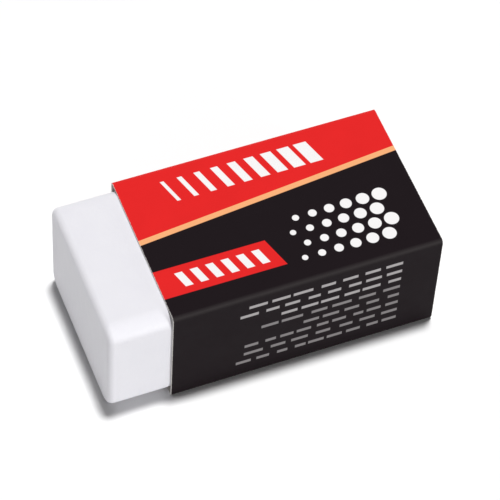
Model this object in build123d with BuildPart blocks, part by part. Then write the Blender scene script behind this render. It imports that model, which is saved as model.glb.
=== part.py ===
from build123d import *
import os

# White vinyl block eraser in a folded card sleeve, in millimetres.
# +X runs along the block away from its bare end, +Y to the back, +Z up.
# The origin is on the ground under the middle of the whole eraser.

# Block: one piece of vinyl, rounded on every edge
block_length = 36.4
block_width = 18.4
block_thickness = 13.6
block_long_edge_radius = 1.9
block_end_edge_radius = 0.7

# Sleeve: one strip of card folded around the block, with its lap glued up the back
sleeve_length = 30.0
card_thickness = 0.22
fold_radius = 0.5
lap_height = 9.2

# How the two fit: the sleeve slides along the block, whose far end sits just inside it
slide_clearance = 0.05
far_end_inset = 0.5

# Sleeve section, worked out from the block inside it
panel_width = block_width + 2 * (slide_clearance + card_thickness)
sleeve_width = panel_width + card_thickness
sleeve_height = block_thickness + 2 * (slide_clearance + card_thickness)
front_face = -sleeve_width / 2
back_face = sleeve_width / 2
block_middle = front_face + panel_width / 2

# Places along the length
overall_length = block_length + far_end_inset
sleeve_start = overall_length / 2 - sleeve_length
block_start = -overall_length / 2

# Middle line of the card: up the inside of the back, over the top, down the front and half
# across the underside, then across its other half and folded up the outside of the back
half_card = card_thickness / 2
inner_back_line = back_face - card_thickness - half_card
front_line = front_face + half_card
lap_line = back_face - half_card
under_line = half_card
top_line = sleeve_height - half_card
wrap_route = [
    (inner_back_line, fold_radius),
    (inner_back_line, top_line),
    (front_line, top_line),
    (front_line, under_line),
    (block_middle, under_line),
]
lap_route = [
    (block_middle, under_line),
    (lap_line, under_line),
    (lap_line, lap_height),
]

# The block: its rounded section drawn out to length, then its ends softened
with BuildPart() as eraser_block:
    with BuildSketch(Plane.YZ.offset(block_start)):
        with Locations((block_middle, sleeve_height / 2)):
            RectangleRounded(block_width, block_thickness, block_long_edge_radius)
    extrude(amount=block_length)
    end_faces = eraser_block.faces().filter_by(Axis.X)
    fillet(end_faces.edges(), radius=block_end_edge_radius)

# The sleeve: one card's thickness laid along the folded route, and drawn out to length
with BuildPart() as card_sleeve:
    with BuildSketch(Plane.YZ.offset(sleeve_start)):
        for route in (wrap_route, lap_route):
            with BuildLine():
                FilletPolyline(route, radius=fold_radius - half_card)
            trace(line_width=card_thickness)
    extrude(amount=sleeve_length)

os.makedirs("parts", exist_ok=True)
eraser_block.part.label = "eraser_block"
export_step(eraser_block.part, "parts/eraser_block.step")
card_sleeve.part.label = "card_sleeve"
export_step(card_sleeve.part, "parts/card_sleeve.step")
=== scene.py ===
import math

import bmesh
import bpy
from mathutils import Color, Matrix, Quaternion, Vector, noise


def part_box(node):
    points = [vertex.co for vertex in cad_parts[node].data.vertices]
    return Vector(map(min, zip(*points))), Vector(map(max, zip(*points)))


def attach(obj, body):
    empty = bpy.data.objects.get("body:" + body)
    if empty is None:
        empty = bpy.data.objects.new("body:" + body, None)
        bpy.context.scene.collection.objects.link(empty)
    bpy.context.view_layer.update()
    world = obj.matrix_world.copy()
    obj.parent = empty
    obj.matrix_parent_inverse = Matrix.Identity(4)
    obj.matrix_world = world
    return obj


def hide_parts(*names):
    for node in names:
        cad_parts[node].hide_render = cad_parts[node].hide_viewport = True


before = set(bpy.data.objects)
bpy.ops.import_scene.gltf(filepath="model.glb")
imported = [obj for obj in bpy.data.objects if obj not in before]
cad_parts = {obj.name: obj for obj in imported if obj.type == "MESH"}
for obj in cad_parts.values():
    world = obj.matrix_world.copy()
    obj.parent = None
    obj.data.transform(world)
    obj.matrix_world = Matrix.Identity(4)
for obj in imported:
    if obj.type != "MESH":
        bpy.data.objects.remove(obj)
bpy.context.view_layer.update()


# Camera: a long lens far off, so that the eraser's edges run almost parallel. It looks down on the
# eraser from the front left and is held a little askew.
millimetre = 0.001
camera_aim = Vector((1.127, 0.809, 7.07)) * millimetre
camera_distance = 309.5 * millimetre
camera_azimuth = math.radians(-24.36)
camera_elevation = math.radians(53.87)
camera_roll = math.radians(3.93)
camera_lens = 208.8
camera_near_clip = 10 * millimetre

toward_camera = Vector((
    math.sin(camera_azimuth) * math.cos(camera_elevation),
    -math.cos(camera_azimuth) * math.cos(camera_elevation),
    math.sin(camera_elevation),
))
level_turn = toward_camera.to_track_quat("Z", "Y")
camera = bpy.data.objects.new("camera", bpy.data.cameras.new("camera"))
camera.data.lens = camera_lens
camera.data.clip_start = camera_near_clip
camera.rotation_mode = "QUATERNION"
camera.rotation_quaternion = level_turn @ Quaternion((0, 0, 1), camera_roll)
camera.location = camera_aim + toward_camera * camera_distance
bpy.context.scene.collection.objects.link(camera)
bpy.context.scene.camera = camera
bpy.context.scene.view_settings.view_transform = "Standard"


# Eraser block: soft white vinyl, moulded as a long bar, cut to length and tumbled until all its edges
# are round. Nothing fixes it but the grip of the card, and its far end lies just inside the sleeve.
block_low, block_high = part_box("eraser_block")
block_middle = (block_low + block_high) / 2
block_half = (block_high - block_low) / 2
long_edge_radius = 1.9 * millimetre
end_edge_radius = 0.7 * millimetre
least_edge_radius = 0.05 * millimetre
cut_end_hollow = 0.08 * millimetre
cut_end_rings = [inset * millimetre for inset in (0.12, 0.5, 1.2, 2.2, 3.4, 4.6, 5.8)]
moulding_wave_share = 0.0022
moulding_wave_pitch = 7.0 * millimetre
edge_steps = 10
width_steps = 18
thickness_steps = 14
length_steps = 44


def spread(steps):
    """Shares from 0 up to 1, closest together at both ends."""
    return [(1 - math.cos(math.pi * step / steps)) / 2 for step in range(steps + 1)]


def block_ring(x, inset):
    """Points round the block's section at one place along it, set in from its widest."""
    radius = max(long_edge_radius - inset, least_edge_radius)
    across = block_half.y - inset - radius
    upward = block_half.z - inset - radius
    centres = [(across, upward), (-across, upward), (-across, -upward), (across, -upward)]
    ring = []
    for corner, (y, z) in enumerate(centres):
        for step in range(edge_steps + 1):
            turn = math.pi / 2 * (corner + step / edge_steps)
            ring.append((y + radius * math.cos(turn), z + radius * math.sin(turn)))
        next_y, next_z = centres[(corner + 1) % len(centres)]
        last_y, last_z = ring[-1]
        for share in spread(thickness_steps if corner % 2 else width_steps)[1:-1]:
            ring.append((last_y + share * (next_y - y), last_z + share * (next_z - z)))
    placed = []
    for y, z in ring:
        wave = noise.noise(Vector((x, y, z)) / moulding_wave_pitch)
        shrink = 1 - moulding_wave_share * (1 + wave) / 2
        placed.append(Vector((x, block_middle.y + y * shrink, block_middle.z + z * shrink)))
    return placed


# A cut end, from its hollow middle out and round its rim: how deep each ring lies, and how far in
end_profile = []
for ring_inset in reversed(cut_end_rings):
    hollow = cut_end_hollow * math.sqrt(ring_inset / cut_end_rings[-1])
    end_profile.append((hollow, end_edge_radius + ring_inset))
for rim_step in range(edge_steps + 1):
    rim_turn = math.pi / 2 * rim_step / edge_steps
    rim_depth = end_edge_radius * (1 - math.cos(rim_turn))
    end_profile.append((rim_depth, end_edge_radius * (1 - math.sin(rim_turn))))

# One cut end, the straight bar and the other cut end
bar_start = block_low.x + end_edge_radius
bar_length = block_high.x - block_low.x - 2 * end_edge_radius
block_stations = [(block_low.x + depth, inset) for depth, inset in end_profile]
block_stations += [(bar_start + share * bar_length, 0) for share in spread(length_steps)[1:-1]]
block_stations += [(block_high.x - depth, inset) for depth, inset in reversed(end_profile)]

block_shell = bmesh.new()
rings = []
for station, station_inset in block_stations:
    rings.append([block_shell.verts.new(point) for point in block_ring(station, station_inset)])
for near, far in zip(rings, rings[1:]):
    for here in range(len(near)):
        after = (here + 1) % len(near)
        block_shell.faces.new((near[here], near[after], far[after], far[here]))
cut_end_middles = [block_shell.faces.new(reversed(rings[0])), block_shell.faces.new(rings[-1])]
bmesh.ops.poke(block_shell, faces=cut_end_middles)
for face in block_shell.faces:
    face.smooth = True
block_mesh = bpy.data.meshes.new("vinyl_block")
block_shell.to_mesh(block_mesh)
block_shell.free()


class Wire:
    """An output in a node tree: sums on it add Math nodes, and node() adds any other node."""

    def __init__(self, tree, socket=None):
        self.tree = tree
        self.socket = socket

    def node(self, kind, settings=None, sockets=None, output=None):
        """Adds a node: its settings first, then the values or links of its sockets by name or place."""
        node = self.tree.nodes.new(kind)
        for name, value in (settings or {}).items():
            setattr(node, name, value)
        for name, value in (sockets or {}).items():
            live = [socket for socket in node.inputs if socket.enabled]
            socket = live[name] if isinstance(name, int) else next(s for s in live if s.name == name)
            if isinstance(value, Wire):
                self.tree.links.new(value.socket, socket)
            else:
                socket.default_value = value
        outputs = [socket for socket in node.outputs if socket.enabled and output in (None, socket.name)]
        return Wire(self.tree, outputs[0] if outputs else None)

    def maths(self, operation, *values):
        """Adds a Math node fed with the values in turn."""
        return self.node("ShaderNodeMath", {"operation": operation}, dict(enumerate(values)))

    def __add__(self, other):
        return self.maths("ADD", self, other)

    def __sub__(self, other):
        return self.maths("SUBTRACT", self, other)

    def __rsub__(self, other):
        return self.maths("SUBTRACT", other, self)

    def __mul__(self, other):
        return self.maths("MULTIPLY", self, other)

    def __truediv__(self, other):
        return self.maths("DIVIDE", self, other)

    def __mod__(self, other):
        return self.maths("FLOORED_MODULO", self, other)

    def __pow__(self, other):
        return self.maths("POWER", self, other)

    def __abs__(self):
        return self.maths("ABSOLUTE", self)

    def __floor__(self):
        return self.maths("FLOOR", self)

    __radd__ = __add__
    __rmul__ = __mul__

    def nearer(self, other):
        """The smaller of two distances, which joins their shapes."""
        return self.maths("MINIMUM", self, other)

    def further(self, other):
        """The larger of two distances, which keeps only what lies in both shapes."""
        return self.maths("MAXIMUM", self, other)

    def held(self):
        """Kept between 0 and 1."""
        return self.node("ShaderNodeClamp", {}, {"Value": self})

    def speckle(self, pitch, detail=2.0):
        """Soft random blotches about one pitch across, with so many layers of finer ones in them."""
        sockets = {"Vector": self, "Scale": 1 / pitch, "Detail": detail}
        return self.node("ShaderNodeTexNoise", {}, sockets, "Fac")

    def chance(self):
        """A number from 0 to 1 that is always the same for the same place."""
        return self.node("ShaderNodeTexWhiteNoise", {}, {"Vector": self}, "Value")

    def scaled(self, *factors):
        """A place stretched by a factor along each of its axes."""
        return self.node("ShaderNodeVectorMath", {"operation": "MULTIPLY"}, {0: self, 1: factors})


def in_millimetres(place):
    """A place in metres, turned into millimetres."""
    per_metre = 1 / millimetre
    return place.scaled(per_metre, per_metre, per_metre)


def shade(red, green, blue):
    """A colour as seen on screen, from 0 to 255, turned into the light it gives back."""
    full_level = 255
    seen = Color((red / full_level, green / full_level, blue / full_level))
    return (*seen.from_srgb_to_scene_linear(), 1)


def laid_over(under, over, cover):
    """A colour laid over another, as far as it covers it."""
    return cover.node("ShaderNodeMix", {"data_type": "RGBA"}, {"Factor": cover, "A": under, "B": over})


def relief(height, depth, under=None):
    """A bump whose full height stands out by the depth, in millimetres, on top of the one under it."""
    sockets = {"Strength": 1.0, "Distance": depth * millimetre, "Height": height}
    if under:
        sockets["Normal"] = under
    return height.node("ShaderNodeBump", {}, sockets)


def new_finish(name, **constants):
    """A material with one Principled shader, its steady values set, and a wire to build on."""
    material = bpy.data.materials.new(name)
    material.use_nodes = True
    shader = material.node_tree.nodes["Principled BSDF"]
    for socket, value in constants.items():
        shader.inputs[socket.replace("_", " ")].default_value = value
    return material, shader, Wire(material.node_tree)


def feed(shader, **wires):
    """Links wires to the sockets of a shader."""
    for socket, wire in wires.items():
        wire.tree.links.new(wire.socket, shader.inputs[socket.replace("_", " ")])


# White vinyl: faintly mottled and a little see-into, with a fine grain and an orange peel from the
# mould, and lines on the cut ends where the blade dragged. Pitches and depths are in millimetres.
vinyl_pale = shade(234, 233, 238)
vinyl_deep = shade(229, 228, 234)
sunk_light_share = 0.15
sunk_light_depth = 0.6 * millimetre
sunk_light_by_colour = (1, 1, 1)
mottle_pitch = 2.6
orange_peel_pitch = 1.1
orange_peel_depth = 0.03
grain_pitch = 0.17
grain_depth = 0.012
drag_line_pitch = 0.4
drag_line_stretch = 0.12
drag_line_depth = 0.02
cut_end_begins = 0.9
cut_end_blend = 0.08
smoothest_vinyl = 0.38
mottle_roughness = 0.14
cut_end_roughness = 0.08

vinyl, vinyl_shader, vinyl_wire = new_finish(
    "white_vinyl",
    Subsurface_Weight=sunk_light_share,
    Subsurface_Scale=sunk_light_depth,
    Subsurface_Radius=sunk_light_by_colour,
)
vinyl_place = in_millimetres(vinyl_wire.node("ShaderNodeTexCoord", output="Object"))
facing = vinyl_wire.node("ShaderNodeTexCoord", output="Normal")
end_facing = abs(vinyl_wire.node("ShaderNodeSeparateXYZ", {}, {"Vector": facing}, "X"))
cut_end = ((end_facing - cut_end_begins) / cut_end_blend).held()
mottle = vinyl_place.speckle(mottle_pitch)
drag_lines = vinyl_place.scaled(1, 1, drag_line_stretch).speckle(drag_line_pitch) * cut_end
vinyl_relief = relief(vinyl_place.speckle(grain_pitch), grain_depth)
vinyl_relief = relief(vinyl_place.speckle(orange_peel_pitch), orange_peel_depth, vinyl_relief)
vinyl_relief = relief(drag_lines, drag_line_depth, vinyl_relief)
vinyl_roughness = smoothest_vinyl + mottle_roughness * mottle + cut_end_roughness * cut_end
vinyl_tint = laid_over(vinyl_deep, vinyl_pale, mottle)
feed(vinyl_shader, Base_Color=vinyl_tint, Roughness=vinyl_roughness, Normal=vinyl_relief)
block_mesh.materials.append(vinyl)

vinyl_block = bpy.data.objects.new("vinyl_block", block_mesh)
bpy.context.scene.collection.objects.link(vinyl_block)
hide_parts("eraser_block")
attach(vinyl_block, "block")


# Card sleeve: one strip of thin white card, printed black and red on its outer face, creased at four
# folds round the block and glued shut where its lap comes up the back. Its cut edges stay bare.
sleeve_low, sleeve_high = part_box("card_sleeve")
card_thickness = 0.22 * millimetre
fold_radius = 0.5 * millimetre
lap_height = 9.2 * millimetre
glue_thickness = 0.01 * millimetre
step_around = 0.1 * millimetre
bend_steps = 24
cuts_along = 12
sharp_edge_angle = math.radians(50)

half_card = card_thickness / 2
bend_radius = fold_radius - half_card
sleeve_length = sleeve_high.x - sleeve_low.x
sleeve_middle = (sleeve_low.x + sleeve_high.x) / 2
inner_back = sleeve_high.y - card_thickness - half_card - glue_thickness
lap_face = sleeve_high.y - half_card
front_face = sleeve_low.y + half_card
top_face = sleeve_high.z - half_card
under_face = sleeve_low.z + half_card
card_route = [
    Vector((sleeve_middle, inner_back, fold_radius)),
    Vector((sleeve_middle, inner_back, top_face)),
    Vector((sleeve_middle, front_face, top_face)),
    Vector((sleeve_middle, front_face, under_face)),
    Vector((sleeve_middle, lap_face, under_face)),
    Vector((sleeve_middle, lap_face, lap_height)),
]

# The flat strip, in millimetres: along the sleeve from its open end, and around it from the inner
# edge. Each fold's crease lies short of the sharp corner by what the bends up to it save.
bend_saving = bend_radius * (1 - math.pi / 4)
creases = []
sharp_way = 0
for fold, (start, end) in enumerate(zip(card_route, card_route[1:-1])):
    sharp_way += (end - start).length
    creases.append((sharp_way - (2 * fold + 1) * bend_saving) / millimetre)
back_crease, front_crease, under_crease, lap_crease = creases
strip_length = sleeve_length / millimetre

ink_black = shade(29, 23, 26)
ink_red = shade(226, 41, 41)
ink_gold = shade(246, 176, 122)
ink_white = shade(244, 242, 242)
ink_grey = shade(136, 132, 133)
ink_pale_grey = shade(172, 168, 169)
bare_card = shade(240, 236, 232)
ink_spread = 0.05
printed_gloss = 0.03


def inked(outside):
    """How far ink covers a point, from its distance outside a printed shape."""
    return (0.5 - outside / ink_spread).held()


def apart(across, down):
    """Distance from a point, from the steps across and down to it."""
    return (across * across + down * down) ** 0.5


def beyond(walked, length):
    """How far a point lies outside a stretch, from its way along it."""
    return abs(walked - length / 2) - length / 2


card_face, card_shader, card_wire = new_finish("printed_card_face", Specular_IOR_Level=printed_gloss)
card_place = in_millimetres(card_wire.node("ShaderNodeUVMap", {"uv_map": "flat_card"}))
from_open_end = card_wire.node("ShaderNodeSeparateXYZ", {}, {"Vector": card_place}, "X")
around = card_wire.node("ShaderNodeSeparateXYZ", {}, {"Vector": card_place}, "Y")

# The print is laid out along the card from its far end, and down each panel from the crease above
along = strip_length - from_open_end
down_top = around - back_crease
down_front = around - front_crease

# Red band along the back of the top, with a gold line at its slanting edge
band_depth = 5.6
band_slant = 0.095
gold_width = 0.65
band_edge = down_top - (band_depth + band_slant * along)
red_band = inked(band_edge)
gold_line = inked(abs(band_edge) - gold_width / 2)

# Leaning white bars on the red, each thinner than the one before
bar_lean = 0.32
bar_pitch = 1.95
bar_count = 9
bars_start = 8.0
bars_middle = 3.1
bars_height = 2.9
widest_bar = 1.45
bar_thinning = 0.13
along_bars = along - bars_start + bar_lean * (down_top - bars_middle)
bar_number = math.floor(along_bars / bar_pitch)
bar_width = widest_bar - bar_thinning * bar_number
bar_side = abs(along_bars % bar_pitch - bar_pitch / 2) - bar_width / 2
bar_end = abs(down_top - bars_middle) - bars_height / 2
bar_row = beyond(along_bars, bar_count * bar_pitch)
white_bars = inked(bar_side.further(bar_end).further(bar_row))

# Staggered rows of white dots on the black, smaller from column to column
dots_start = 3.0
dots_top = 9.9
dot_pitch = 1.9
dot_row_pitch = 1.7
dot_columns = 6
dot_rows = 4
largest_dot = 0.8
dot_shrinking = 0.085
down_dots = down_top - dots_top
dot_row = math.floor(down_dots / dot_row_pitch)
row_shift = dot_row % 2 / 2
along_dots = along - dots_start - dot_pitch * row_shift
dot_column = math.floor(along_dots / dot_pitch)
dot_radius = largest_dot - dot_shrinking * (dot_column + row_shift)
across_dot = along_dots % dot_pitch - dot_pitch / 2
down_dot = down_dots % dot_row_pitch - dot_row_pitch / 2
dots_beside = beyond(along_dots, dot_columns * dot_pitch)
dots_above = beyond(down_dots, dot_rows * dot_row_pitch)
dot_rim = apart(across_dot, down_dot) - dot_radius
white_dots = inked(dot_rim.further(dots_beside).further(dots_above))

# A red strip that runs off the open end, with a row of short leaning white ticks in it
strip_start = 17.0
strip_middle = 14.2
strip_depth = 3.6
tick_pitch = 1.7
tick_count = 6
tick_width = 0.85
tick_height = 1.9
along_strip = along - strip_start + bar_lean * (down_top - strip_middle)
strip_side = abs(down_top - strip_middle) - strip_depth / 2
red_strip = inked(strip_side.further(0 - along_strip))
along_ticks = along_strip - tick_pitch / 2
tick_side = abs(along_ticks % tick_pitch - tick_pitch / 2) - tick_width / 2
tick_end = abs(down_top - strip_middle) - tick_height / 2
tick_row = beyond(along_ticks, tick_count * tick_pitch)
white_ticks = inked(tick_side.further(tick_end).further(tick_row))

# Thin grey rules down the front, broken into dashes, the upper ones paler. Chance gives each rule its
# length and the pitch of its dashes, by two draws, and each dash its own length.
rule_pitch = 1.4
rule_count = 8
pale_rule_count = 3
rules_top = 0.9
rule_width = 0.46
rules_start = 4.4
shortest_rule = 13.0
rule_spare = 11.0
shortest_dash_pitch = 1.8
dash_pitch_spare = 1.2
shortest_dash_share = 0.56
dash_spare_share = 0.32
pitch_draw = 3
down_rules = down_front - rules_top
along_rule = along - rules_start
rule_number = math.floor(down_rules / rule_pitch)
rule_row = card_wire.node("ShaderNodeCombineXYZ", {}, {"X": rule_number})
dash_pitch = shortest_dash_pitch + dash_pitch_spare * rule_row.scaled(pitch_draw, 1, 1).chance()
rule_dashes = math.floor((shortest_rule + rule_spare * rule_row.chance()) / dash_pitch)
dash_number = math.floor(along_rule / dash_pitch)
dash_place = card_wire.node("ShaderNodeCombineXYZ", {}, {"X": rule_number, "Y": dash_number})
dash_length = dash_pitch * (shortest_dash_share + dash_spare_share * dash_place.chance())
rule_side = abs(down_rules % rule_pitch - rule_pitch / 2) - rule_width / 2
dash_end = along_rule % dash_pitch - dash_length
rule_column = beyond(down_rules, rule_count * rule_pitch)
rule_end = beyond(along_rule, rule_dashes * dash_pitch - 2 * ink_spread)
grey_rules = inked(rule_side.further(dash_end).further(rule_column).further(rule_end))
pale_rules = inked(down_rules - pale_rule_count * rule_pitch)
rule_ink = laid_over(ink_grey, ink_pale_grey, pale_rules)

# Ink rubs through to bare card in flecks along the two cut ends, and a little along the creases
fleck_pitch = 0.22
fleck_detail = 3.0
fleck_contrast = 1.6
rub_everywhere = 0.12
crease_rub = 0.2
crease_rub_reach = 0.35
crease_fading = 0.025
end_rub = 0.7
end_rub_reach = 0.12
from_crease = abs(around - back_crease)
for crease in (front_crease, under_crease, lap_crease):
    from_crease = from_crease.nearer(abs(around - crease))
crease_nearness = (1 - from_crease / crease_rub_reach).held()
end_nearness = (1 - along.nearer(from_open_end) / end_rub_reach).held()
rubbed = rub_everywhere + (crease_rub * crease_nearness).further(end_rub * end_nearness)
flecks = (fleck_contrast * (rubbed - card_place.speckle(fleck_pitch, fleck_detail))).held()
wear = flecks.further(crease_fading * crease_nearness)

# The inks go on one after the other, wear comes last, and the whole face is a little uneven in tone
darkest_tone = 0.95
tone_range = 0.1
tone_pitch = 3.5
tone_detail = 4.0
ink = laid_over(ink_black, ink_red, red_band)
ink = laid_over(ink, ink_gold, gold_line)
ink = laid_over(ink, ink_white, white_bars.further(white_dots))
ink = laid_over(ink, ink_red, red_strip)
ink = laid_over(ink, ink_white, white_ticks)
ink = laid_over(ink, rule_ink, grey_rules)
ink = laid_over(ink, bare_card, wear)
tone = darkest_tone + tone_range * card_place.speckle(tone_pitch, tone_detail)
ink = card_wire.node(
    "ShaderNodeMix",
    {"data_type": "RGBA", "blend_type": "MULTIPLY"},
    {"Factor": 1.0, "A": ink, "B": tone},
)

# The printed face is raised at its creases, not quite flat between them, and finely grained
crease_height = 0.02
sheet_wave_pitch = 7.0
sheet_wave_detail = 0.0
sheet_wave_depth = 0.12
card_grain_pitch = 0.16
card_grain_detail = 3.0
card_grain_depth = 0.006
smoothest_print = 0.46
patchy_roughness = 0.16
patch_pitch = 1.4
patch_detail = 4.0
worn_roughness = 0.15
sheet_wave = card_place.speckle(sheet_wave_pitch, sheet_wave_detail)
card_grain = card_place.speckle(card_grain_pitch, card_grain_detail)
card_relief = relief(crease_nearness, crease_height)
card_relief = relief(sheet_wave, sheet_wave_depth, card_relief)
card_relief = relief(card_grain, card_grain_depth, card_relief)
patches = card_place.speckle(patch_pitch, patch_detail)
print_roughness = smoothest_print + patchy_roughness * patches + worn_roughness * wear
feed(card_shader, Base_Color=ink, Roughness=print_roughness, Normal=card_relief)

# Bare inner face: uncoated card with loose fibres
pulp_pale = shade(232, 228, 220)
pulp_deep = shade(196, 190, 180)
bare_card_gloss = 0.25
fibre_pitch = 0.3
fibre_stretch = 0.25
fibre_detail = 4.0
fibre_depth = 0.02
smoothest_pulp = 0.8
fibre_roughness = 0.15
card_inside, inside_shader, inside_wire = new_finish(
    "bare_card_inside", Specular_IOR_Level=bare_card_gloss
)
inside_place = in_millimetres(inside_wire.node("ShaderNodeUVMap", {"uv_map": "flat_card"}))
fibre = inside_place.scaled(fibre_stretch, 1, 1).speckle(fibre_pitch, fibre_detail)
pulp_roughness = smoothest_pulp + fibre_roughness * fibre
pulp_tint = laid_over(pulp_deep, pulp_pale, fibre)
feed(inside_shader, Base_Color=pulp_tint, Roughness=pulp_roughness, Normal=relief(fibre, fibre_depth))

# Cut edge: the white middle of the card, with the fine ribs of its layers
edge_pale = shade(246, 243, 240)
edge_deep = shade(208, 203, 198)
layer_pitch = 0.09
layer_detail = 3.0
layer_depth = 0.02
smoothest_edge = 0.75
layer_roughness = 0.2
card_edge, edge_shader, edge_wire = new_finish("cut_card_edge", Specular_IOR_Level=bare_card_gloss)
edge_place = in_millimetres(edge_wire.node("ShaderNodeTexCoord", output="Object"))
layer = edge_place.speckle(layer_pitch, layer_detail)
edge_roughness = smoothest_edge + layer_roughness * layer
edge_tint = laid_over(edge_deep, edge_pale, layer)
feed(edge_shader, Base_Color=edge_tint, Roughness=edge_roughness, Normal=relief(layer, layer_depth))

# The strip is bent along its route, and each point keeps its place on the flat card
bending = bpy.data.node_groups.new("folded_card", "GeometryNodeTree")
bending.interface.new_socket("Geometry", in_out="INPUT", socket_type="NodeSocketGeometry")
bending.interface.new_socket("Geometry", in_out="OUTPUT", socket_type="NodeSocketGeometry")
bending_inputs = {
    "Length": ("NodeSocketFloat", sleeve_length),
    "Bend Radius": ("NodeSocketFloat", bend_radius),
    "Bend Steps": ("NodeSocketInt", bend_steps),
    "Step Around": ("NodeSocketFloat", step_around),
    "Cuts Along": ("NodeSocketInt", cuts_along),
    "Print": ("NodeSocketMaterial", card_face),
}
input_values = {}
for title, (kind, value) in bending_inputs.items():
    input_socket = bending.interface.new_socket(title, in_out="INPUT", socket_type=kind)
    input_values[input_socket.identifier] = value

bend_wire = Wire(bending)
given = {}
for title in ["Geometry", *bending_inputs]:
    given[title] = bend_wire.node("NodeGroupInput", output=title)
walk = bend_wire.node("GeometryNodeSplineParameter", output="Length")
keep = "GeometryNodeStoreNamedAttribute"
recall = "GeometryNodeInputNamedAttribute"

fillet = {"Count": given["Bend Steps"], "Radius": given["Bend Radius"]}
route = bend_wire.node("GeometryNodeMeshToCurve", {}, {"Mesh": given["Geometry"]})
route = bend_wire.node("GeometryNodeFilletCurve", {"mode": "POLY"}, {"Curve": route, **fillet})
route = bend_wire.node(
    "GeometryNodeResampleCurve", {"mode": "LENGTH"}, {"Curve": route, "Length": given["Step Around"]}
)
route = bend_wire.node(
    "GeometryNodeSetCurveNormal", {"mode": "FREE"}, {"Curve": route, "Normal": (1, 0, 0)}
)
route = bend_wire.node(keep, {}, {"Geometry": route, "Name": "around", "Value": walk})

far_corner = bend_wire.node("ShaderNodeCombineXYZ", {}, {"X": given["Length"] / 2})
edge_ends = {"Start": far_corner.scaled(-1, -1, -1), "End": far_corner}
edge_line = bend_wire.node("GeometryNodeCurvePrimitiveLine", {}, edge_ends)
edge_line = bend_wire.node(
    "GeometryNodeResampleCurve", {}, {"Curve": edge_line, "Count": given["Cuts Along"]}
)
edge_line = bend_wire.node(keep, {}, {"Geometry": edge_line, "Name": "along", "Value": walk})

card = bend_wire.node("GeometryNodeCurveToMesh", {}, {"Curve": route, "Profile Curve": edge_line})
card = bend_wire.node("GeometryNodeFlipFaces", {}, {"Mesh": card})
card_along = bend_wire.node(recall, {}, {"Name": "along"}, "Attribute")
card_around = bend_wire.node(recall, {}, {"Name": "around"}, "Attribute")
flat_point = bend_wire.node("ShaderNodeCombineXYZ", {}, {"X": card_along, "Y": card_around})
flat_map = {"data_type": "FLOAT2", "domain": "CORNER"}
card = bend_wire.node(keep, flat_map, {"Geometry": card, "Name": "flat_card", "Value": flat_point})
card = bend_wire.node("GeometryNodeRealizeInstances", {}, {"Geometry": card})
card = bend_wire.node("GeometryNodeSetMaterial", {}, {"Geometry": card, "Material": given["Print"]})
bend_wire.node("NodeGroupOutput", {}, {"Geometry": card})


def plain_mesh(name, piece):
    """The mesh that an object's modifiers make; the object itself goes."""
    bpy.context.scene.collection.objects.link(piece)
    evaluated = piece.evaluated_get(bpy.context.evaluated_depsgraph_get())
    mesh = bpy.data.meshes.new_from_object(evaluated)
    mesh.name = name
    bpy.data.objects.remove(piece)
    return mesh


route_mesh = bpy.data.meshes.new("card_route")
route_edges = [(corner, corner + 1) for corner in range(len(card_route) - 1)]
route_mesh.from_pydata(card_route, route_edges, [])
bent_strip = bpy.data.objects.new("bent_strip", route_mesh)
bend_card = bent_strip.modifiers.new("bend_card", "NODES")
bend_card.node_group = bending
for identifier, value in input_values.items():
    bend_card[identifier] = value
strip_mesh = plain_mesh("bent_strip", bent_strip)

# The strip takes on the card's thickness: print outside, bare card inside and cut edges between them
for finish in (card_inside, card_edge):
    strip_mesh.materials.append(finish)
thick_strip = bpy.data.objects.new("thick_strip", strip_mesh)
thicken = thick_strip.modifiers.new("thicken", "SOLIDIFY")
thicken.thickness = card_thickness
thicken.offset = 0
thicken.use_even_offset = True
thicken.material_offset = 1
thicken.material_offset_rim = 2
sleeve_mesh = plain_mesh("folded_sleeve", thick_strip)
sleeve_mesh.shade_smooth()
sleeve_mesh.set_sharp_from_angle(angle=sharp_edge_angle)
folded_sleeve = bpy.data.objects.new("folded_sleeve", sleeve_mesh)
bpy.context.scene.collection.objects.link(folded_sleeve)
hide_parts("card_sleeve")
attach(folded_sleeve, "sleeve")


# Studio: a wide matt white floor under an overhead lamp that leaves no gloss, with a low broad lamp
# in front and a pale tent all round. The floor keeps the eraser's shadow.
floor_half = 1500 * millimetre
floor_drop = 0.02 * millimetre
floor_white = (0.98, 0.98, 0.98, 1)
tent_white = (1, 1, 1, 1)
tent_light = 0.10
tent_look = 1.0
overhead_share = 0.93
overhead_toward = Vector((0.070, 0.061, 1.0))
overhead_spread = math.radians(6)
front_share = 0.57
front_toward = Vector((0.45, -1.0, 0.04))
front_spread = math.radians(11)

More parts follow.
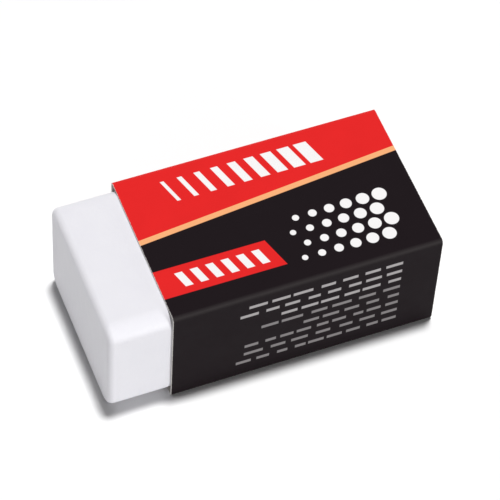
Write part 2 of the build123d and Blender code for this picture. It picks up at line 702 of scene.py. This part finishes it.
floor_mesh = bpy.data.meshes.new("studio_floor")
floor_corners = [(-floor_half, -floor_half), (floor_half, -floor_half)]
floor_corners += [(floor_half, floor_half), (-floor_half, floor_half)]
floor_mesh.from_pydata([(x, y, -floor_drop) for x, y in floor_corners], [], [range(len(floor_corners))])
floor_finish = bpy.data.materials.new("studio_floor")
floor_finish.use_nodes = True
floor_finish.node_tree.nodes.clear()
floor_wire = Wire(floor_finish.node_tree)
matt = floor_wire.node("ShaderNodeBsdfDiffuse", {}, {"Color": floor_white})
floor_wire.node("ShaderNodeOutputMaterial", {}, {"Surface": matt})
floor_mesh.materials.append(floor_finish)
floor = bpy.data.objects.new("studio_floor", floor_mesh)
bpy.context.scene.collection.objects.link(floor)

# The tent lights things weakly, but looks white to the camera, in a gloss or through something clear
tent = bpy.data.worlds.new("studio_tent")
tent.use_nodes = True
tent.node_tree.nodes.clear()
tent_wire = Wire(tent.node_tree)
camera_ray = tent_wire.node("ShaderNodeLightPath", output="Is Camera Ray")
glossy_ray = tent_wire.node("ShaderNodeLightPath", output="Is Glossy Ray")
clear_ray = tent_wire.node("ShaderNodeLightPath", output="Is Transmission Ray")
looked_at = camera_ray.further(glossy_ray).further(clear_ray)
lit = tent_wire.node("ShaderNodeBackground", {}, {"Color": tent_white, "Strength": tent_light})
seen = tent_wire.node("ShaderNodeBackground", {}, {"Color": tent_white, "Strength": tent_look})
cloth = tent_wire.node("ShaderNodeMixShader", {}, {0: looked_at, 1: lit, 2: seen})
tent_wire.node("ShaderNodeOutputWorld", {}, {"Surface": cloth})
bpy.context.scene.world = tent

lamps = [
    ("overhead_lamp", overhead_share, overhead_toward, overhead_spread, False),
    ("front_lamp", front_share, front_toward, front_spread, True),
]
for lamp_name, lamp_share, lamp_toward, lamp_spread, in_gloss in lamps:
    lamp = bpy.data.objects.new(lamp_name, bpy.data.lights.new(lamp_name, "SUN"))
    lamp.data.energy = lamp_share * math.pi
    lamp.data.angle = lamp_spread
    lamp.rotation_mode = "QUATERNION"
    lamp.rotation_quaternion = lamp_toward.to_track_quat("Z", "Y")
    lamp.location = lamp_toward
    lamp.visible_glossy = in_gloss
    bpy.context.scene.collection.objects.link(lamp)
